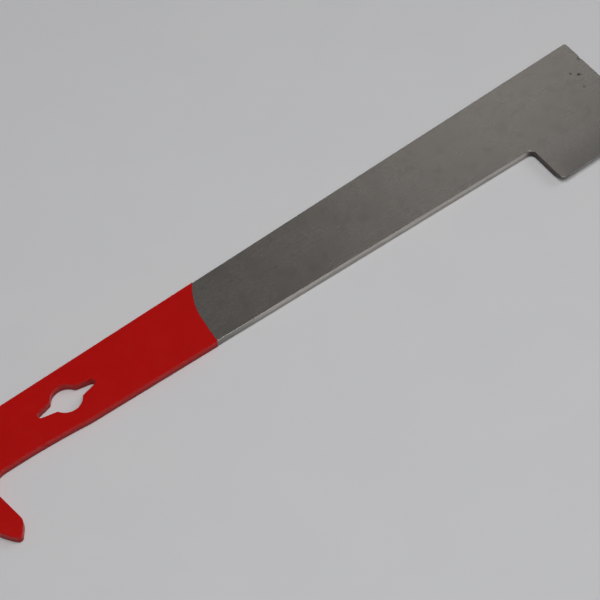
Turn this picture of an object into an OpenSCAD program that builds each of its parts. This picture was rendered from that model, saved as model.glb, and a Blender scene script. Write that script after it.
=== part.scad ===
// Hook-ended hive tool: a flat steel bar, stamped from one sheet, with a wide stepped blade
// at one end and a J-shaped frame hook at the other. The hook half is coated in red enamel.
//
// The tool lies flat. X runs along the bar towards the blade, Y runs across it towards the
// straight back edge, and Z is up. The origin is under the middle of the tool, on the
// surface that it lies on.

/* [Steel bar] */
// Length of the whole tool, from the nose of the hook to the edge of the blade
overall_l = 267; // [240:1:300]
// Thickness of the steel sheet
plate_t = 3; // [2:0.1:4]
// Width of the bar where it meets the blade
bar_w_blade = 28.7; // [26:0.1:32]
// Width of the bar where its neck begins, short of the hook
bar_w_neck = 22.5; // [22.3:0.1:25]
// Width of the bar at the throat of the hook
bar_w_throat = 20.6; // [19:0.1:21]
// Distance from the nose of the hook to where the neck begins
neck_from_nose = 49.6; // [46:0.1:55]

/* [Blade] */
// Length of the blade, from its step to its edge
blade_l = 38.6; // [30:0.1:50]
// Width of the blade, from the back edge to the side edge
blade_w = 45.3; // [45:0.1:55]
// Radius inside the step
step_inner_r = 2.2; // [1:0.1:4]
// Radius on the outer corner of the step
step_outer_r = 1.8; // [1:0.1:4]
// Radius on the two corners of the blade's edge
edge_corner_r = 1; // [0.5:0.1:2]
// Length of the bevel ground under the end edge
end_bevel_l = 9; // [5:0.5:14]
// Length of the bevel ground under the side edge
side_bevel_l = 5; // [3:0.5:8]
// Thickness of steel left at the ground edges
edge_land = 0.4; // [0.2:0.1:1]

/* [Hook] */
// Outer radius of the J
hook_r = 27; // [25:0.1:28]
// Width of steel across the nose of the J
nose_w = 10.1; // [8:0.1:12]
// Radius of the throat, between the bar and the tongue
throat_r = 6.8; // [4:0.1:8]
// Lean of the tongue's inner face towards the blade, in degrees
tongue_lean = 5.6; // [0:0.1:8]
// Distance from the back edge to the end of the tongue
hook_depth = 44.8; // [42:0.1:45]
// Slant of the tongue's blunt tip, in degrees
tip_slant = 38; // [25:1:40]
// Radius on the outer corner of the tip
tip_outer_r = 1.3; // [0.8:0.1:2]
// Radius on the inner corner of the tip
tip_inner_r = 3.8; // [2:0.1:3.8]

/* [Nail hole] */
// Distance from the nose of the hook to the middle of the nail hole
hole_from_nose = 47.5; // [42:0.5:60]
// Diameter of the nail hole in the steel
hole_d = 11.2; // [9:0.1:13]
// Length over the two pointed slots of the nail hole
slot_span = 22.6; // [20:0.1:26]
// Radius at the point of each slot
slot_tip_r = 1.4; // [1:0.1:1.8]
// Half of the angle between a slot's two sides, in degrees
slot_half_angle = 13; // [8:1:16]
// Radius on the corners between the hole and its slots
slot_root_r = 1; // [0.5:0.1:1.5]

/* [Coating] */
// Thickness of the enamel
coat_t = 0.15; // [0.1:0.05:0.5]
// Length of the coated stretch, from the nose of the hook to the middle of the bar
coat_l = 100; // [90:1:130]
// Slant of the line where the enamel ends, in degrees
coat_slant = 6.6; // [0:0.1:12]
// Width of the strip, along the back edge, in which that line sweeps forward
coat_sweep_w = 14.3; // [8:0.1:16]
// Radius of the sweep
coat_sweep_r = 28; // [24:1:60]

/* [Hidden] */
$fn = 96;

steel_grey = [0.56, 0.55, 0.53];
enamel_red = [0.72, 0.07, 0.06];

// Facets on the full circle of the neck's arc, which is far larger than the others
neck_facets = 720;

// Cutting shapes run this far past what they cut
overrun = 5;

// The discs that round the corners are this much larger than their arcs, so that each one
// cleanly overlaps the edges that it touches
overlap = 0.002;

// Faces of the bare steel
nose_x = -overall_l / 2 + coat_t;
blade_x = overall_l / 2;
step_x = blade_x - blade_l;
back_y = (blade_w - coat_t) / 2;

// A straight edge is its outward normal and its distance from the origin along it
function edge(angle, point) =
    let (normal = [cos(angle), sin(angle)])
    [normal, normal * point];

// The same edge, moved outwards
function outwards(side, by) = [side[0], side[1] + by];

// The point where two edges cross
function crossing(a, b) =
    let (det = a[0].x * b[0].y - a[0].y * b[0].x)
    [(a[1] * b[0].y - b[1] * a[0].y) / det, (b[1] * a[0].x - a[1] * b[0].x) / det];

// Centre of the arc between two edges. An inner corner has a negative radius.
function arc_centre(a, b, r) = crossing(outwards(a, -r), outwards(b, -r));

// The point where an arc touches an edge
function touch(centre, side, r) = centre + side[0] * r;

function unit(v) = v / norm(v);

// The J is part of a disc whose top touches the back edge
hook_c = [nose_x + hook_r, back_y - hook_r];

// The bar narrows evenly from the step to the neck
neck_x = nose_x + neck_from_nose;
taper_angle = atan((bar_w_blade - bar_w_neck) / (step_x - neck_x));

// The straight edges of the outline
back_edge = edge(90, [0, back_y]);
blade_edge = edge(0, [blade_x, 0]);
side_edge = edge(-90, [0, back_y - blade_w]);
step_edge = edge(180, [step_x, 0]);
belly_edge = edge(-90 - taper_angle, [neck_x, back_y - bar_w_neck]);
throat_edge = edge(-90, [0, back_y - bar_w_throat]);
tongue_edge = edge(tongue_lean, [nose_x + nose_w, hook_c.y]);

// The tip's outer corner touches the disc from inside, at the full depth of the hook
tip_outer_y = back_y - hook_depth + tip_outer_r;
tip_outer_x = hook_c.x - sqrt(pow(hook_r - tip_outer_r, 2) - pow(tip_outer_y - hook_c.y, 2));
tip_outer_c = [tip_outer_x, tip_outer_y];
tip_rim = [unit(tip_outer_c - hook_c)];
tip_edge = outwards(edge(-tip_slant, tip_outer_c), tip_outer_r);

// Centres of the other arcs
tip_inner_c = arc_centre(tip_edge, tongue_edge, tip_inner_r);
throat_c = arc_centre(throat_edge, tongue_edge, -throat_r);
step_inner_c = arc_centre(belly_edge, step_edge, -step_inner_r);
step_outer_c = arc_centre(step_edge, side_edge, step_outer_r);
blade_side_c = arc_centre(blade_edge, side_edge, edge_corner_r);
blade_back_c = arc_centre(blade_edge, back_edge, edge_corner_r);

// The neck is a long shallow arc. It starts at a soft corner with the taper and runs level
// into the top of the throat's arc, so the two centres lie on one line across the bar.
neck_run = neck_x - throat_c.x;
neck_rise = bar_w_neck - bar_w_throat;
neck_r = (pow(neck_run, 2) + pow(neck_rise, 2)) / (2 * neck_rise);
neck_c = touch(throat_c, throat_edge, neck_r - throat_r);

// The nail hole sits midway between the back edge and the line of the taper
hole_x = nose_x + hole_from_nose;
hole_c = [hole_x, (back_y + crossing(belly_edge, edge(0, [hole_x, 0])).y) / 2];

// The point and the upper side of a slot, seen from the middle of the hole
slot_tip_c = [slot_span / 2 - slot_tip_r, 0];
slot_edge = outwards(edge(90 - slot_half_angle, slot_tip_c), slot_tip_r);

// The steel's corner between hole and slot is rounded about a point in the steel
root_off = slot_edge[1] + slot_root_r;
root_along = sqrt(pow(hole_d / 2 + slot_root_r, 2) - pow(root_off, 2));
slot_root_c = slot_edge[0] * root_off + [slot_edge[0].y, -slot_edge[0].x] * root_along;
slot_root_rim = [unit(slot_root_c)];

// The line where the enamel ends. It leans across the bar, and from the point where the
// sweep starts it follows an arc forward to the back edge.
sweep_start = [nose_x + coat_l, back_y - coat_sweep_w];
coat_edge = edge(-coat_slant, sweep_start);
sweep_c = touch(sweep_start, coat_edge, coat_sweep_r);

// In the 2D shapes below, g is how far the outline is grown: 0 for the steel itself, and
// coat_t for the outside of its coating. An arc keeps its centre and changes its radius.

// The disc that rounds a corner
module corner_disc(centre, r) {
    translate(centre) circle(r + overlap);
}

// The strip that the tool is stamped from, with the corners of the blade cut across
module strip_2d(g) {
    polygon([
        [hook_c.x, back_y + g],
        [hook_c.x, back_y - blade_w - g],
        touch(blade_side_c, side_edge, edge_corner_r + g),
        touch(blade_side_c, blade_edge, edge_corner_r + g),
        touch(blade_back_c, blade_edge, edge_corner_r + g),
        touch(blade_back_c, back_edge, edge_corner_r + g),
    ]);
}

// The space cut out between the hook and the blade, along the belly of the bar
module cut_out_2d(g) {
    below_y = hook_c.y - hook_r - overrun;
    // The taper's line runs on to here, behind the neck's arc, so that the two cross cleanly
    mid_neck = edge(0, [neck_x - neck_run / 2, 0]);
    polygon([
        crossing(outwards(belly_edge, g), mid_neck),
        throat_c,
        touch(throat_c, tongue_edge, g - throat_r),
        touch(tip_inner_c, tongue_edge, g + tip_inner_r),
        touch(tip_inner_c, tip_edge, g + tip_inner_r),
        touch(tip_outer_c, tip_edge, g + tip_outer_r),
        touch(tip_outer_c, tip_rim, g + tip_outer_r),
        touch(tip_outer_c, tip_rim, g + tip_outer_r + overrun),
        [hook_c.x, below_y],
        [step_outer_c.x, below_y],
        touch(step_outer_c, side_edge, g + step_outer_r),
        touch(step_outer_c, step_edge, g + step_outer_r),
        touch(step_inner_c, step_edge, g - step_inner_r),
        touch(step_inner_c, belly_edge, g - step_inner_r),
    ]);
    corner_disc(throat_c, throat_r - g);
    corner_disc(step_inner_c, step_inner_r - g);
    intersection() {
        translate(neck_c) circle(neck_r - g, $fn = neck_facets);
        translate(throat_c) square([neck_run + overrun, throat_r + overrun]);
    }
}

// The nail hole with its two pointed slots
module nail_hole_2d(g) {
    slot = [
        touch(slot_tip_c, slot_edge, slot_tip_r - g),
        touch(slot_root_c, slot_edge, -slot_root_r - g),
        touch(slot_root_c, slot_root_rim, -slot_root_r - g),
    ];
    translate(hole_c) difference() {
        union() {
            circle(hole_d / 2 - g);
            for (turn = [0, 180]) rotate(turn) {
                polygon(concat(slot, [for (i = [2, 1, 0]) [slot[i].x, -slot[i].y]]));
                corner_disc(slot_tip_c, slot_tip_r - g);
            }
        }
        for (x = [-1, 1], y = [-1, 1])
            corner_disc([x * slot_root_c.x, y * slot_root_c.y], slot_root_r + g);
    }
}

// The outline of the whole tool
module outline_2d(g) {
    difference() {
        union() {
            difference() {
                union() {
                    translate(hook_c) circle(hook_r + g);
                    strip_2d(g);
                }
                cut_out_2d(g);
            }
            corner_disc(tip_inner_c, tip_inner_r + g);
            corner_disc(tip_outer_c, tip_outer_r + g);
            corner_disc(step_outer_c, step_outer_r + g);
            corner_disc(blade_side_c, edge_corner_r + g);
            corner_disc(blade_back_c, edge_corner_r + g);
        }
        nail_hole_2d(g);
    }
}

// Everything on the hook's side of the line where the enamel ends
module coated_side_2d() {
    above = outwards(back_edge, overrun);
    below = outwards(side_edge, overrun);
    left = edge(180, [nose_x - overrun, 0]);
    ahead = edge(0, sweep_c);
    difference() {
        polygon([crossing(above, left), crossing(left, below), crossing(below, coat_edge),
                 sweep_start, sweep_c, crossing(ahead, above)]);
        corner_disc(sweep_c, coat_sweep_r);
    }
}

// The steel that grinding takes from under an edge that runs along X and faces +Y
module ground_away(length, run) {
    rise = plate_t - edge_land;
    translate([-overrun, -run, 0]) rotate([atan(rise / run), 0, 0])
        translate([0, 0, -2 * plate_t])
            cube([length + 2 * overrun, run + 2 * overrun, 2 * plate_t]);
}

module steel_plate() {
    color(steel_grey) translate([0, 0, coat_t]) difference() {
        linear_extrude(plate_t) outline_2d(0);
        translate([blade_x, back_y, 0]) rotate(-90)
            ground_away(blade_w, end_bevel_l);
        translate([blade_x, back_y - blade_w, 0]) rotate(180)
            ground_away(blade_l, side_bevel_l);
    }
}

// The enamel wraps the handle: both faces, its edges and the walls of the nail hole
module handle_coating() {
    color(enamel_red) difference() {
        linear_extrude(plate_t + 2 * coat_t) intersection() {
            outline_2d(coat_t);
            coated_side_2d();
        }
        steel_plate();
    }
}

steel_plate();
handle_coating();
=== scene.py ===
import math

import bmesh
import bpy
from mathutils import Matrix, Vector, noise


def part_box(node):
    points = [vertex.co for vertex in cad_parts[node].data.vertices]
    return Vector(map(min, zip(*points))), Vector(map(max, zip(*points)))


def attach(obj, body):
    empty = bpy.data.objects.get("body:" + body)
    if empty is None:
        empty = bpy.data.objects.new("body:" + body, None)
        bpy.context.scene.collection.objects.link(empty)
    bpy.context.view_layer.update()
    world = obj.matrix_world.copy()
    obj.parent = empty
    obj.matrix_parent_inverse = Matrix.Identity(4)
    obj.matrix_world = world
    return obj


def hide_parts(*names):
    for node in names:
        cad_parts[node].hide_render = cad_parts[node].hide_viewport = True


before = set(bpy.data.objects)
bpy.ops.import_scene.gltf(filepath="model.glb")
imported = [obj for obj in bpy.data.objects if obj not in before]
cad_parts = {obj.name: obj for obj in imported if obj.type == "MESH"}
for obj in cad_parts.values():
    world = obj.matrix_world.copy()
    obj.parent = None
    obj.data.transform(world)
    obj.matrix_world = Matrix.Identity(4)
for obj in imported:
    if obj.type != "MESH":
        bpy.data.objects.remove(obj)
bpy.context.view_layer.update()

# ---------------------------------------------------------------------------------------
# Camera
# It stands on the belly side of the tool, and looks down at it through a long lens.
# The tool runs across the picture, and both of its ends reach past the picture's sides.
# ---------------------------------------------------------------------------------------
LENS_MM = 166.3
VIEW_AIM = Vector((-0.00262, -0.00398, 0))
VIEW_DISTANCE = 0.9193
VIEW_HEADING = math.radians(-31.31)
VIEW_TILT = math.radians(34.82)
VIEW_ROLL = math.radians(-6.66)

turn = (
    Matrix.Rotation(VIEW_HEADING, 3, "Z")
    @ Matrix.Rotation(VIEW_TILT, 3, "X")
    @ Matrix.Rotation(VIEW_ROLL, 3, "Z")
)
camera = bpy.data.objects.new("camera", bpy.data.cameras.new("camera"))
camera.data.lens = LENS_MM
camera.matrix_world = Matrix.LocRotScale(
    VIEW_AIM + turn @ Vector((0, 0, VIEW_DISTANCE)), turn, None
)
bpy.context.scene.collection.objects.link(camera)
bpy.context.scene.camera = camera
bpy.context.scene.view_settings.view_transform = "Standard"

# ---------------------------------------------------------------------------------------
# Table top and light
# A plain pale table top of fine matt card. A soft lamp hangs over it a little to the belly
# side, one stands far off to the right, and a weak one beyond the blade brightens the steel.
# ---------------------------------------------------------------------------------------
TABLE_HALF = 3
TABLE_DROP = 0.00002
CARD_DARK = (0.763, 0.765, 0.781, 1)
CARD_LIGHT = (0.773, 0.775, 0.789, 1)
CARD_CLOUD = 35
CARD_TOOTH = 0.6
CARD_TOOTH_SPAN = (0.2, 0.8)
CARD_ROUGHNESS = (0.7, 0.85)
CARD_RELIEF = 0.00001
MM_PER_METRE = 1000
ROOM_TONE = (1.0, 0.99, 0.98, 1)
ROOM_LEVEL = 0.09
LAMPS = {
    "over_the_belly": {"place": (-0.03, -0.19, 0.9), "size": 0.6, "watts": 4.5},
    "right_hand": {"place": (2.1, -0.49, 1.4), "size": 1.12, "watts": 8.8},
    "beyond_the_blade": {"place": (0.78, 0.91, 1.26), "size": 0.36, "watts": 0.24},
}


def put(tree, kind, inputs=None, **settings):
    """Adds a shader node. inputs gives its sockets values or the sockets that feed them."""
    node = tree.nodes.new(kind)
    for name, value in settings.items():
        setattr(node, name, value)
    for name, value in (inputs or {}).items():
        socket = next(s for s in node.inputs if s.name == name and s.enabled)
        if isinstance(value, bpy.types.NodeSocket):
            tree.links.new(value, socket)
        else:
            socket.default_value = value
    return node


def calc(tree, operation, *values):
    """The result of a Math node."""
    node = put(tree, "ShaderNodeMath", operation=operation)
    for socket, value in zip(node.inputs, values):
        if isinstance(value, bpy.types.NodeSocket):
            tree.links.new(value, socket)
        else:
            socket.default_value = value
    return node.outputs["Value"]


def rise(tree, value, low, high, start=0.0, end=1.0):
    """Goes smoothly from start to end as the value goes from low to high."""
    inputs = {"Value": value, "From Min": low, "From Max": high, "To Min": start, "To Max": end}
    node = put(tree, "ShaderNodeMapRange", inputs, interpolation_type="SMOOTHSTEP")
    return node.outputs["Result"]


def tint(tree, share, one, two, blend="MIX"):
    """A colour between one and two, or between one and the two multiplied."""
    inputs = {"Factor": share, "A": one, "B": two}
    node = put(tree, "ShaderNodeMix", inputs, data_type="RGBA", blend_type=blend)
    return next(s for s in node.outputs if s.enabled)


def millimetres(tree, turned=(0, 0, 0)):
    """Places on the piece in millimetres, turned about X, then Y, then Z."""
    here = put(tree, "ShaderNodeTexCoord").outputs["Object"]
    inputs = {"Vector": here, "Rotation": turned, "Scale": [MM_PER_METRE] * 3}
    return put(tree, "ShaderNodeMapping", inputs).outputs["Vector"]


def blank_finish(name):
    """A new material with an empty node tree."""
    material = bpy.data.materials.new(name)
    material.use_nodes = True
    material.node_tree.nodes.clear()
    return material


def coat_with(material, height, depth, **inputs):
    """Gives a material its shader, and a bump of a real depth in metres from a height.
    Underscores in the names of the shader's inputs stand for spaces."""
    tree = material.node_tree
    bump = put(tree, "ShaderNodeBump", {"Height": height, "Distance": depth})
    named = {name.replace("_", " "): value for name, value in inputs.items()}
    named["Normal"] = bump.outputs["Normal"]
    shader = put(tree, "ShaderNodeBsdfPrincipled", named)
    put(tree, "ShaderNodeOutputMaterial", {"Surface": shader.outputs["BSDF"]})


def shader_effect(name, inputs, outputs):
    """A shader node group. Returns its tree, its inner input sockets and its exit node."""
    tree = bpy.data.node_groups.new(name, "ShaderNodeTree")
    for label, start in inputs.items():
        kind = "NodeSocketVector" if start is None else "NodeSocketFloat"
        socket = tree.interface.new_socket(label, in_out="INPUT", socket_type=kind)
        if start is not None:
            socket.default_value = start
    for label in outputs:
        tree.interface.new_socket(label, in_out="OUTPUT", socket_type="NodeSocketFloat")
    return tree, put(tree, "NodeGroupInput").outputs, put(tree, "NodeGroupOutput")


def place_effect(tree, effect, **inputs):
    """Places a node group in a material, with its own values, and returns its outputs."""
    return put(tree, "ShaderNodeGroup", inputs, node_tree=effect).outputs


def cloud_effect():
    """Soft uneven patches, as on handled metal, in thick enamel or across card."""
    inputs = {"Vector": None, "Size": 10.0, "Low": 0.35, "High": 0.65}
    tree, given, out = shader_effect("clouds", inputs, ["Mask"])
    patches = put(
        tree,
        "ShaderNodeTexNoise",
        {
            "Vector": given["Vector"],
            "Scale": calc(tree, "DIVIDE", 1.0, given["Size"]),
            "Detail": 4.0,
            "Roughness": 0.55,
            "Distortion": 0.4,
        },
    )
    mask = rise(tree, patches.outputs["Fac"], given["Low"], given["High"])
    tree.links.new(mask, out.inputs["Mask"])
    return tree


def fine_grit_effect():
    """A fine even unevenness: the tooth of card, the peel of enamel, the torn band of a cut."""
    inputs = {"Vector": None, "Size": 1.0}
    tree, given, out = shader_effect("fine_grit", inputs, ["Height"])
    grit = put(
        tree,
        "ShaderNodeTexNoise",
        {
            "Vector": given["Vector"],
            "Scale": calc(tree, "DIVIDE", 1.0, given["Size"]),
            "Detail": 2.0,
            "Roughness": 0.5,
        },
    )
    tree.links.new(grit.outputs["Fac"], out.inputs["Height"])
    return tree


clouds = cloud_effect()
fine_grit = fine_grit_effect()


def pale_card():
    """Matt card: a fine tooth, and a tone that drifts a little from place to place."""
    card = blank_finish("pale_card")
    tree = card.node_tree
    where = millimetres(tree)
    cloud = place_effect(tree, clouds, Vector=where, Size=CARD_CLOUD)["Mask"]
    tooth = place_effect(tree, fine_grit, Vector=where, Size=CARD_TOOTH)["Height"]
    coat_with(
        card,
        tooth,
        CARD_RELIEF,
        Base_Color=tint(tree, cloud, CARD_DARK, CARD_LIGHT),
        Roughness=rise(tree, tooth, *CARD_TOOTH_SPAN, *CARD_ROUGHNESS),
        Specular_IOR_Level=0.3,
    )
    return card


def piece_from(name, bm, materials):
    """Makes a finished bmesh an object, at the origin."""
    mesh = bpy.data.meshes.new(name)
    bm.to_mesh(mesh)
    bm.free()
    for material in materials:
        mesh.materials.append(material)
    piece = bpy.data.objects.new(name, mesh)
    bpy.context.scene.collection.objects.link(piece)
    return piece


table = bmesh.new()
bmesh.ops.create_grid(table, x_segments=1, y_segments=1, size=TABLE_HALF)
bmesh.ops.translate(table, verts=table.verts, vec=(0, 0, -TABLE_DROP))
piece_from("table_top", table, [pale_card()])

for name, facts in LAMPS.items():
    lamp = bpy.data.lights.new(name, "AREA")
    lamp.size = facts["size"]
    lamp.energy = facts["watts"]
    stand = bpy.data.objects.new(name, lamp)
    stand.location = facts["place"]
    stand.rotation_euler = (-stand.location).to_track_quat("-Z", "Y").to_euler()
    bpy.context.scene.collection.objects.link(stand)

room = bpy.data.worlds.new("room")
room.use_nodes = True
room.node_tree.nodes.clear()
walls = put(room.node_tree, "ShaderNodeBackground", {"Color": ROOM_TONE, "Strength": ROOM_LEVEL})
put(room.node_tree, "ShaderNodeOutputWorld", {"Surface": walls.outputs["Background"]})
bpy.context.scene.world = room

# ---------------------------------------------------------------------------------------
# Steel bar
# One blank of stainless sheet, stamped out with its hook, its nail hole and its stepped
# blade, and tumbled. Two edges of the blade are ground to a bevel from below.
# ---------------------------------------------------------------------------------------
MERGE = 0.000001
FLAT = math.radians(0.5)
LEAN = 0.1
AT_THE_END = 0.00001
TOP_RIM = 0.00015
UNDER_RIM = 0.00015
RIM_STEPS = 3
WEAR_STEP = 0.00035
WEAR_DEPTH = 0.00005
WEAR_RUN = 0.004
# Nicks in the end edge, each at its place along Y
NICKS = [
    {"place": 0.0142, "width": 0.0020, "depth": 0.00028},
    {"place": 0.0087, "width": 0.0012, "depth": 0.00010},
    {"place": -0.0046, "width": 0.0016, "depth": 0.00014},
    {"place": -0.0163, "width": 0.0026, "depth": 0.00018},
]
# Marks on the upper face, in millimetres, as the materials measure their places
PITS = [
    {"place": (126.2, 10.8, 3.15), "radius": 0.7, "share": 0.5},
    {"place": (128.2, 8.8, 3.15), "radius": 0.75, "share": 1.0},
    {"place": (128.9, 8.2, 3.15), "radius": 0.5, "share": 0.3},
    {"place": (126.1, 3.4, 3.15), "radius": 0.8, "share": 0.25},
    {"place": (132.9, 14.2, 3.15), "radius": 1.1, "share": 0.4},
]
STEEL_LOW, STEEL_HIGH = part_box("steel_plate")

SHEET_DARK = (0.40, 0.373, 0.344, 1)
SHEET_LIGHT = (0.52, 0.485, 0.448, 1)
SHEET_EDGE_SHADE = (0.34, 0.325, 0.305, 1)
SHEET_SPECK = (0.12, 0.11, 0.10, 1)
BURNISH_AND_HIGHLIGHT = (0.56, 0.535, 0.51, 1)
TORN_AND_SHADE = (0.41, 0.387, 0.362, 1)
STEP_CORNER_BLACK = (0.115, 0.10, 0.096, 1)
DARK_BESIDE_ENAMEL = (0.27, 0.257, 0.245, 1)
GROUND_DARK = (0.50, 0.48, 0.455, 1)
GROUND_LIGHT = (0.62, 0.60, 0.575, 1)

GRAIN_SPAN = (0.3, 0.7)
SPECK_CORE = 0.5
SPECK_LEAST = 0.4
SCRATCH_ENDS = (0.1, 0.4)
SPOT_CORE = 0.3
QUARTER_TURN = math.radians(90)

# Weights of the masks in each finish, and where it begins and ends in millimetres
SHEET_TONE = {"base": 0.25, "cloud": 0.3, "lines": 0.25, "scuff": 0.12, "blotch": -0.35}
SHEET_ROUGHNESS = {"base": 0.24, "lines": 0.03, "cloud": 0.01, "scuff": -0.05, "pits": 0.25}
SHEET_HEIGHT = {"lines": 0.35, "scuff": -0.6, "pits": -2.0}
SHEET_RELIEF = 0.000004
CROSS_SCUFF = math.radians(52)
EDGE_SHADE_ALONG = (95.0, 100.0)
EDGE_SHADE_ACROSS = (-23.0, -9.0)
EDGE_SHADE_SHARE = 0.75

TORN_LEVEL = (0.95, 1.15)
TORN_WANDER = 0.9
TORN_RAGGED = 0.25
GRIT_SPAN = (0.35, 0.65)
EDGE_ROUGHNESS = {"base": 0.28, "drag": 0.06, "torn": 0.2, "scale": 0.2}
EDGE_HEIGHT = {"grit": 1.0, "drag": 0.15}
EDGE_RELIEF = 0.00002
STEP_CORNER_BEGINS = (91.8, 94.2)
STEP_CORNER_ENDS = (96.4, 98.4)
STEP_CORNER_ACROSS = (-3.0, 0.0)
DARK_BESIDE_ENAMEL_ALONG = (-36.0, -8.0)

GROUND_TONE = {"cloud": 0.3, "lines": 0.7}
GROUND_ROUGHNESS = {"base": 0.24, "lines": 0.1, "cloud": 0.03}
GROUND_HEIGHT = {"lines": 1.0, "deep": -0.8}
GROUND_RELIEF = 0.000006


def fall(tree, value, low, high, start=1.0):
    """Goes smoothly from start to nothing as the value goes from low to high."""
    return rise(tree, value, low, high, start, 0.0)


def weighted(tree, weights, **masks):
    """The base of the weights, plus each mask times its own weight."""
    total = weights.get("base", 0.0)
    for name, mask in masks.items():
        total = calc(tree, "MULTIPLY_ADD", mask, weights[name], total)
    return total


def drawn_out(tree, where, along, across):
    """Places measured in cells that are drawn out along X."""
    cell = put(tree, "ShaderNodeCombineXYZ", {"X": along, "Y": across, "Z": across})
    drawn = put(tree, "ShaderNodeVectorMath", operation="DIVIDE")
    tree.links.new(where, drawn.inputs[0])
    tree.links.new(cell.outputs["Vector"], drawn.inputs[1])
    return drawn.outputs["Vector"]


def grain_effect():
    """Fine straight lines along X, as rolling, polishing or grinding leaves them."""
    inputs = {"Vector": None, "Spacing": 0.2, "Length": 20.0}
    tree, given, out = shader_effect("grain", inputs, ["Shade"])
    drawn = drawn_out(tree, given["Vector"], given["Length"], given["Spacing"])
    inputs = {"Vector": drawn, "Scale": 1.0, "Detail": 4.0, "Roughness": 0.65}
    lines = put(tree, "ShaderNodeTexNoise", inputs)
    tree.links.new(rise(tree, lines.outputs["Fac"], *GRAIN_SPAN), out.inputs["Shade"])
    return tree


def speck_effect():
    """Small scattered round spots: pits, dirt or dust. Share is how many places have one."""
    inputs = {"Vector": None, "Cell": 8.0, "Radius": 0.3, "Share": 0.2}
    tree, given, out = shader_effect("specks", inputs, ["Mask"])
    inputs = {"Vector": given["Vector"], "Scale": calc(tree, "DIVIDE", 1.0, given["Cell"])}
    cells = put(tree, "ShaderNodeTexVoronoi", inputs)
    draw = put(tree, "ShaderNodeSeparateColor", {"Color": cells.outputs["Color"]})
    away = calc(tree, "MULTIPLY", cells.outputs["Distance"], given["Cell"])
    size = calc(tree, "ADD", draw.outputs["Green"], SPECK_LEAST)
    radius = calc(tree, "MULTIPLY", given["Radius"], size)
    spot = fall(tree, away, calc(tree, "MULTIPLY", radius, SPECK_CORE), radius)
    chosen = calc(tree, "LESS_THAN", draw.outputs["Red"], given["Share"])
    tree.links.new(calc(tree, "MULTIPLY", spot, chosen), out.inputs["Mask"])
    return tree


def scratch_effect():
    """Short thin marks, each at its own slant to X. Share is how many places have one."""
    inputs = {"Vector": None, "Length": 12.0, "Gap": 4.0, "Width": 0.05, "Share": 0.3, "Slant": 0.3}
    tree, given, out = shader_effect("scratches", inputs, ["Mask"])
    drawn = drawn_out(tree, given["Vector"], given["Length"], given["Gap"])
    cells = put(tree, "ShaderNodeTexVoronoi", {"Vector": drawn, "Scale": 1.0})
    offset = put(tree, "ShaderNodeVectorMath", operation="SUBTRACT")
    tree.links.new(drawn, offset.inputs[0])
    tree.links.new(cells.outputs["Position"], offset.inputs[1])
    along = put(tree, "ShaderNodeSeparateXYZ", {"Vector": offset.outputs["Vector"]})
    draw = put(tree, "ShaderNodeSeparateColor", {"Color": cells.outputs["Color"]})
    either_way = calc(tree, "SUBTRACT", draw.outputs["Green"], 0.5)
    slant = calc(tree, "MULTIPLY", either_way, given["Slant"])
    run = calc(tree, "MULTIPLY", along.outputs["X"], given["Length"])
    side = calc(tree, "MULTIPLY", along.outputs["Y"], given["Gap"])
    away = calc(tree, "ABSOLUTE", calc(tree, "MULTIPLY_ADD", run, slant, side))
    line = fall(tree, away, 0.0, given["Width"])
    ends = fall(tree, calc(tree, "ABSOLUTE", along.outputs["X"]), *SCRATCH_ENDS)
    chosen = calc(tree, "LESS_THAN", draw.outputs["Red"], given["Share"])
    mask = calc(tree, "MULTIPLY", calc(tree, "MULTIPLY", line, ends), chosen)
    tree.links.new(mask, out.inputs["Mask"])
    return tree


grain = grain_effect()
specks = speck_effect()
scratches = scratch_effect()


def spots(tree, where, marks):
    """Marks at places of their own, each a mask that fades out at its radius."""
    mask = 0.0
    for mark in marks:
        inputs = {"Vector": where, "Location": [-part for part in mark["place"]]}
        inputs = {"Vector": put(tree, "ShaderNodeMapping", inputs).outputs["Vector"]}
        away = put(tree, "ShaderNodeVectorMath", inputs, operation="LENGTH").outputs["Value"]
        fade = fall(tree, away, mark["radius"] * SPOT_CORE, mark["radius"], mark["share"])
        mask = calc(tree, "MAXIMUM", mask, fade)
    return mask


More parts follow.
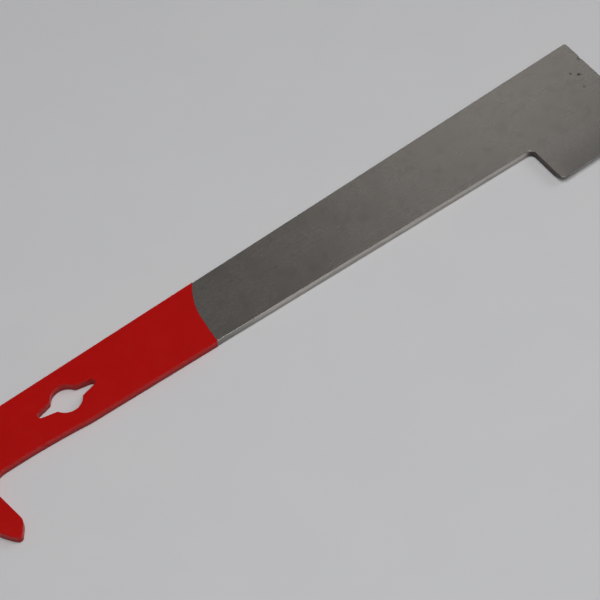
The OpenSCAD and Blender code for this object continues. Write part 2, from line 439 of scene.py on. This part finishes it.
def steel_sheet():
    """The two faces of the sheet: a dull rolled skin, scuffed by handling, with a few pits
    near the tip, and painted shade that darkens it towards the blade's side edge."""
    sheet = blank_finish("steel_sheet")
    tree = sheet.node_tree
    where = millimetres(tree)
    axes = put(tree, "ShaderNodeSeparateXYZ", {"Vector": where}).outputs
    lines = place_effect(tree, grain, Vector=where, Spacing=0.16, Length=9.0)["Shade"]
    cloud = place_effect(tree, clouds, Vector=where, Size=16.0)["Mask"]
    blotch = place_effect(tree, clouds, Vector=where, Size=4.0, Low=0.5, High=0.72)["Mask"]
    pits = place_effect(tree, specks, Vector=where, Cell=9.0, Radius=0.28, Share=0.16)["Mask"]
    pits = calc(tree, "MAXIMUM", pits, spots(tree, where, PITS))
    marks = place_effect(tree, scratches, Vector=where, Share=0.35)["Mask"]
    cross = millimetres(tree, (0, 0, CROSS_SCUFF))
    stray = place_effect(tree, scratches, Vector=cross, Length=7.0, Gap=9.0, Share=0.25)["Mask"]
    scuff = calc(tree, "MAXIMUM", marks, stray)
    tone = weighted(tree, SHEET_TONE, cloud=cloud, lines=lines, scuff=scuff, blotch=blotch)
    colour = tint(tree, tone, SHEET_DARK, SHEET_LIGHT)
    # Painted shade: on the blade, the face darkens towards its side edge.
    low_down = fall(tree, axes["Y"], *EDGE_SHADE_ACROSS, EDGE_SHADE_SHARE)
    rubs_and_edge_shade = calc(tree, "MULTIPLY", low_down, rise(tree, axes["X"], *EDGE_SHADE_ALONG))
    colour = tint(tree, rubs_and_edge_shade, colour, SHEET_EDGE_SHADE)
    coat_with(
        sheet,
        weighted(tree, SHEET_HEIGHT, lines=lines, scuff=scuff, pits=pits),
        SHEET_RELIEF,
        Base_Color=tint(tree, pits, colour, SHEET_SPECK),
        Roughness=weighted(
            tree, SHEET_ROUGHNESS, lines=lines, cloud=cloud, scuff=scuff, pits=pits
        ),
        Metallic=1.0,
    )
    return sheet


def cut_edge():
    """The stamped walls: a burnished band above, lighter as a painted highlight too, and a torn
    and duller one below, darker as painted shade near the table too; fine lines where the punch
    dragged; a near-black patch on the wall at the corner of the step; and darker walls beside
    the enamel."""
    edge = blank_finish("cut_edge")
    tree = edge.node_tree
    where = millimetres(tree)
    axes = put(tree, "ShaderNodeSeparateXYZ", {"Vector": where}).outputs
    inputs = {"Vector": where, "Rotation": (0, QUARTER_TURN, 0)}
    on_end = put(tree, "ShaderNodeMapping", inputs).outputs["Vector"]
    drag = place_effect(tree, grain, Vector=on_end, Spacing=0.12, Length=4.0)["Shade"]
    grit = place_effect(tree, fine_grit, Vector=where, Size=0.22)["Height"]
    wander = place_effect(tree, clouds, Vector=where, Size=9.0, Low=0.2, High=0.8)["Mask"]
    ragged = place_effect(tree, clouds, Vector=where, Size=1.6, Low=0.2, High=0.8)["Mask"]
    level = calc(tree, "MULTIPLY_ADD", wander, -TORN_WANDER, axes["Z"])
    level = calc(tree, "MULTIPLY_ADD", ragged, -TORN_RAGGED, level)
    torn = fall(tree, level, *TORN_LEVEL)
    # The burnished band is lighter as real burnish and as a painted highlight; the torn band is
    # darker as real tearing and as painted shade at the foot of the wall.
    smooth = tint(tree, drag, BURNISH_AND_HIGHLIGHT, SHEET_LIGHT)
    rugged = tint(tree, rise(tree, grit, *GRIT_SPAN), TORN_AND_SHADE, SHEET_DARK)
    colour = tint(tree, torn, smooth, rugged)
    # The walls are darker beside the enamel.
    colour = tint(tree, fall(tree, axes["X"], *DARK_BESIDE_ENAMEL_ALONG), colour, DARK_BESIDE_ENAMEL)
    # Near-black on the wall at the corner of the step.
    begun = rise(tree, axes["X"], *STEP_CORNER_BEGINS)
    near = calc(tree, "MULTIPLY", begun, fall(tree, axes["X"], *STEP_CORNER_ENDS))
    scale = calc(tree, "MULTIPLY", near, fall(tree, axes["Y"], *STEP_CORNER_ACROSS))
    coat_with(
        edge,
        weighted(tree, EDGE_HEIGHT, grit=calc(tree, "MULTIPLY", grit, torn), drag=drag),
        EDGE_RELIEF,
        Base_Color=tint(tree, scale, colour, STEP_CORNER_BLACK),
        Roughness=weighted(tree, EDGE_ROUGHNESS, drag=drag, torn=torn, scale=scale),
        Metallic=1.0,
    )
    return edge


def ground_steel(name, turned):
    """A bevel off the belt: bright, with its lines square to the edge. It is turned flat, so
    that X runs along the lines."""
    bevel = blank_finish(name)
    tree = bevel.node_tree
    where = millimetres(tree, turned)
    lines = place_effect(tree, grain, Vector=where, Spacing=0.14, Length=14.0)["Shade"]
    deep = place_effect(tree, scratches, Vector=where, Length=7.0, Gap=0.8, Slant=0.1)["Mask"]
    cloud = place_effect(tree, clouds, Vector=where, Size=6.0)["Mask"]
    tone = weighted(tree, GROUND_TONE, cloud=cloud, lines=lines)
    coat_with(
        bevel,
        weighted(tree, GROUND_HEIGHT, lines=lines, deep=deep),
        GROUND_RELIEF,
        Base_Color=tint(tree, tone, GROUND_DARK, GROUND_LIGHT),
        Roughness=weighted(tree, GROUND_ROUGHNESS, lines=lines, cloud=cloud),
        Metallic=1.0,
    )
    return bevel


def merged_copy(node):
    """A bmesh of a node's shape, with its triangles merged into whole faces."""
    bm = bmesh.new()
    bm.from_mesh(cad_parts[node].data)
    bmesh.ops.remove_doubles(bm, verts=bm.verts, dist=MERGE)
    bmesh.ops.dissolve_limit(bm, angle_limit=FLAT, verts=bm.verts, edges=bm.edges)
    return bm


def upright(face):
    """Whether a face is a wall, and neither flat nor a bevel."""
    return abs(face.normal.z) < LEAN


def at_level(edge, level):
    return all(abs(v.co.z - level) < MERGE for v in edge.verts)


def rims(bm):
    """The edges between the walls of a sheet and its faces."""
    return [e for e in bm.edges if upright(e.link_faces[0]) != upright(e.link_faces[1])]


def round_over(bm, edges, radius, steps):
    bmesh.ops.bevel(
        bm,
        geom=edges,
        offset=radius,
        offset_type="OFFSET",
        affect="EDGES",
        segments=steps,
        profile=0.5,
        material=-1,
    )


def slice_across(bm, is_wanted, step):
    """Cuts the wanted faces across at even steps of Y, so that their edges can wander."""
    places = [v.co.y for f in bm.faces if is_wanted(f) for v in f.verts]
    for index in range(math.ceil(min(places) / step), math.floor(max(places) / step) + 1):
        wanted = [f for f in bm.faces if is_wanted(f)]
        parts = {part for f in wanted for part in (f, *f.edges, *f.verts)}
        bmesh.ops.bisect_plane(
            bm, geom=list(parts), dist=MERGE, plane_co=(0, index * step, 0), plane_no=(0, 1, 0)
        )


def even_shading(piece):
    """Smooth shading that keeps the flat faces flat to the eye."""
    for face in piece.data.polygons:
        face.use_smooth = True
    normals = piece.modifiers.new("normals", "WEIGHTED_NORMAL")
    normals.weight = 100
    normals.keep_sharp = False


def on_the_end(face):
    return upright(face) and all(v.co.x > STEEL_HIGH.x - AT_THE_END for v in face.verts)


def wear_at(y):
    """How far the end edge has worn back at a place along it."""
    worn = WEAR_DEPTH * (1 + noise.noise((y / WEAR_RUN, 0, 0))) / 2
    for nick in NICKS:
        share = abs(y - nick["place"]) / (nick["width"] / 2)
        if share < 1:
            worn += nick["depth"] * (1 + math.cos(math.pi * share)) / 2
    return worn


blank = merged_copy("steel_plate")
slice_across(blank, on_the_end, WEAR_STEP)
end_ground = next(f.normal for f in blank.faces if f.normal.x > LEAN and not upright(f))
side_ground = next(f.normal for f in blank.faces if f.normal.y < -LEAN and not upright(f))
end_lean = math.atan2(end_ground.x, -end_ground.z)
side_lean = math.atan2(-side_ground.y, -side_ground.z)
for vert in {v for f in blank.faces if on_the_end(f) for v in f.verts}:
    worn = wear_at(vert.co.y)
    vert.co.x -= worn
    if vert.co.z < STEEL_HIGH.z - MERGE:
        vert.co.z -= worn * math.tan(end_lean)
blank.normal_update()
for face in blank.faces:
    if upright(face):
        face.material_index = 1
    elif face.normal.x > LEAN:
        face.material_index = 2
    elif face.normal.y < -LEAN:
        face.material_index = 3
top_rims = [e for e in rims(blank) if at_level(e, STEEL_HIGH.z)]
round_over(blank, top_rims, TOP_RIM, RIM_STEPS)
under_rims = [e for e in rims(blank) if e.verts[0].co.z < STEEL_HIGH.z - TOP_RIM - MERGE]
round_over(blank, under_rims, UNDER_RIM, RIM_STEPS)

finishes = [
    steel_sheet(),
    cut_edge(),
    ground_steel("ground_tip", (0, end_lean, 0)),
    ground_steel("ground_side", (side_lean, 0, QUARTER_TURN)),
]
bar = piece_from("steel_bar", blank, finishes)
even_shading(bar)
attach(bar, "root")
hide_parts("steel_plate")

# ---------------------------------------------------------------------------------------
# Enamel coat
# Red enamel that covers the hook half of the bar on both faces, round its edges and
# through the nail hole. It is dipped and baked, so its rims are rounder than the steel's.
# ---------------------------------------------------------------------------------------
COAT_RIM = 0.0002
COAT_RIM_STEPS = 4
FEATHER = 0.0001
LINE_STEP = 0.0006
LINE_WANDER = 0.00012
LINE_RUN = 0.0045
LINE_SEED = 7
# Marks on the coat's faces: on its outside, or on the line where it ends
OUTER = 1
LINE = 2

ENAMEL = (0.55, 0.0034, 0.0022, 1)
ENAMEL_DEEP = (0.51, 0.0029, 0.0020, 1)
ENAMEL_RIM_SHADE = (0.37, 0.0034, 0.0030, 1)
ENAMEL_RUBBED = (0.62, 0.020, 0.014, 1)
# What the enamel's colour is multiplied by on its walls: painted light at their head and painted
# shade at their foot
WALL_PAINTED_LIGHT = (1.24, 1.0, 1.1, 1)
WALL_PAINTED_SHADE = (0.60, 1.0, 1.1, 1)

ENAMEL_TONE = {"dapple": 0.45, "cloud": 0.55}
ENAMEL_ROUGHNESS = {"base": 0.34, "smear": 0.06, "rim": 0.14, "marks": 0.1}
ENAMEL_HEIGHT = {"peel": 1.0, "nibs": 0.3, "marks": -0.08}
ENAMEL_RELIEF = 0.00006
PEEL_SPAN = (0.35, 0.65)
WALL_LIGHT_SPAN = (0.4, 2.6)
RIM_SPAN = (0.02, 0.2)
RIM_SHADE_SHARE = 0.35
RUB_SLANT = math.radians(24)
RUB_SHARE = 0.25


def red_enamel():
    """Baked enamel: glossy but not sleek, with some peel, a few nibs and fine pale rubs. It
    is rougher on the rims and darker there as painted shade, and on its walls it carries painted
    light at their head and painted shade at their foot."""
    enamel = blank_finish("red_enamel")
    tree = enamel.node_tree
    where = millimetres(tree)
    cloud = place_effect(tree, clouds, Vector=where, Size=18.0)["Mask"]
    smear = place_effect(tree, clouds, Vector=where, Size=7.0, Low=0.45, High=0.7)["Mask"]
    peel = place_effect(tree, fine_grit, Vector=where, Size=1.3)["Height"]
    nibs = place_effect(tree, specks, Vector=where, Cell=5.0, Radius=0.14, Share=0.35)["Mask"]
    slanted = millimetres(tree, (0, 0, RUB_SLANT))
    marks = place_effect(tree, scratches, Vector=slanted, Length=8.0, Gap=6.0, Share=0.25)["Mask"]
    facing = put(tree, "ShaderNodeTexCoord").outputs["Normal"]
    up = put(tree, "ShaderNodeSeparateXYZ", {"Vector": facing}).outputs["Z"]
    flat = calc(tree, "MULTIPLY", up, up)
    side = calc(tree, "SUBTRACT", 1.0, flat)
    rim = rise(tree, calc(tree, "MULTIPLY", flat, side), *RIM_SPAN)
    dapple = rise(tree, peel, *PEEL_SPAN)
    tone = weighted(tree, ENAMEL_TONE, dapple=dapple, cloud=cloud)
    colour = tint(tree, tone, ENAMEL, ENAMEL_DEEP)
    level = put(tree, "ShaderNodeSeparateXYZ", {"Vector": where}).outputs["Z"]
    # Painted light at the head of the walls and painted shade at their foot.
    painted_wall_light = tint(tree, fall(tree, level, *WALL_LIGHT_SPAN), WALL_PAINTED_LIGHT, WALL_PAINTED_SHADE)
    colour = tint(tree, side, colour, painted_wall_light, "MULTIPLY")
    # Painted shade on the rims.
    colour = tint(tree, calc(tree, "MULTIPLY", rim, RIM_SHADE_SHARE), colour, ENAMEL_RIM_SHADE)
    rubs_and_edge_shade = calc(tree, "MULTIPLY", marks, RUB_SHARE)
    coat_with(
        enamel,
        weighted(tree, ENAMEL_HEIGHT, peel=peel, nibs=nibs, marks=marks),
        ENAMEL_RELIEF,
        Base_Color=tint(tree, rubs_and_edge_shade, colour, ENAMEL_RUBBED),
        Roughness=weighted(tree, ENAMEL_ROUGHNESS, smear=smear, rim=rim, marks=marks),
        Specular_IOR_Level=0.19,
    )
    return enamel


coat_low, coat_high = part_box("handle_coating")
skin = merged_copy("handle_coating")
outside = (coat_low.z, coat_high.z)
inside = (STEEL_LOW.z, STEEL_HIGH.z)
part_of = skin.faces.layers.int.new("part_of")


def touches(face, levels):
    return any(abs(v.co.z - level) < MERGE for v in face.verts for level in levels)


for face in skin.faces:
    if touches(face, outside):
        face[part_of] = LINE if touches(face, inside) else OUTER
slice_across(skin, lambda face: face[part_of] == LINE, LINE_STEP)
for vert in {v for f in skin.faces if f[part_of] == LINE for v in f.verts}:
    vert.co.x += LINE_WANDER * noise.noise(
        (vert.co.y / LINE_RUN, vert.co.z / LINE_RUN, LINE_SEED)
    )
    above_steel = max(vert.co.z - STEEL_HIGH.z, STEEL_LOW.z - vert.co.z, 0)
    vert.co.x -= FEATHER * above_steel / (coat_high.z - STEEL_HIGH.z)
skin.normal_update()
outer_rims = [e for e in rims(skin) if all(f[part_of] == OUTER for f in e.link_faces)]
round_over(skin, outer_rims, COAT_RIM, COAT_RIM_STEPS)
coat = piece_from("enamel_coat", skin, [red_enamel()])
even_shading(coat)
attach(coat, "root")
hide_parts("handle_coating")
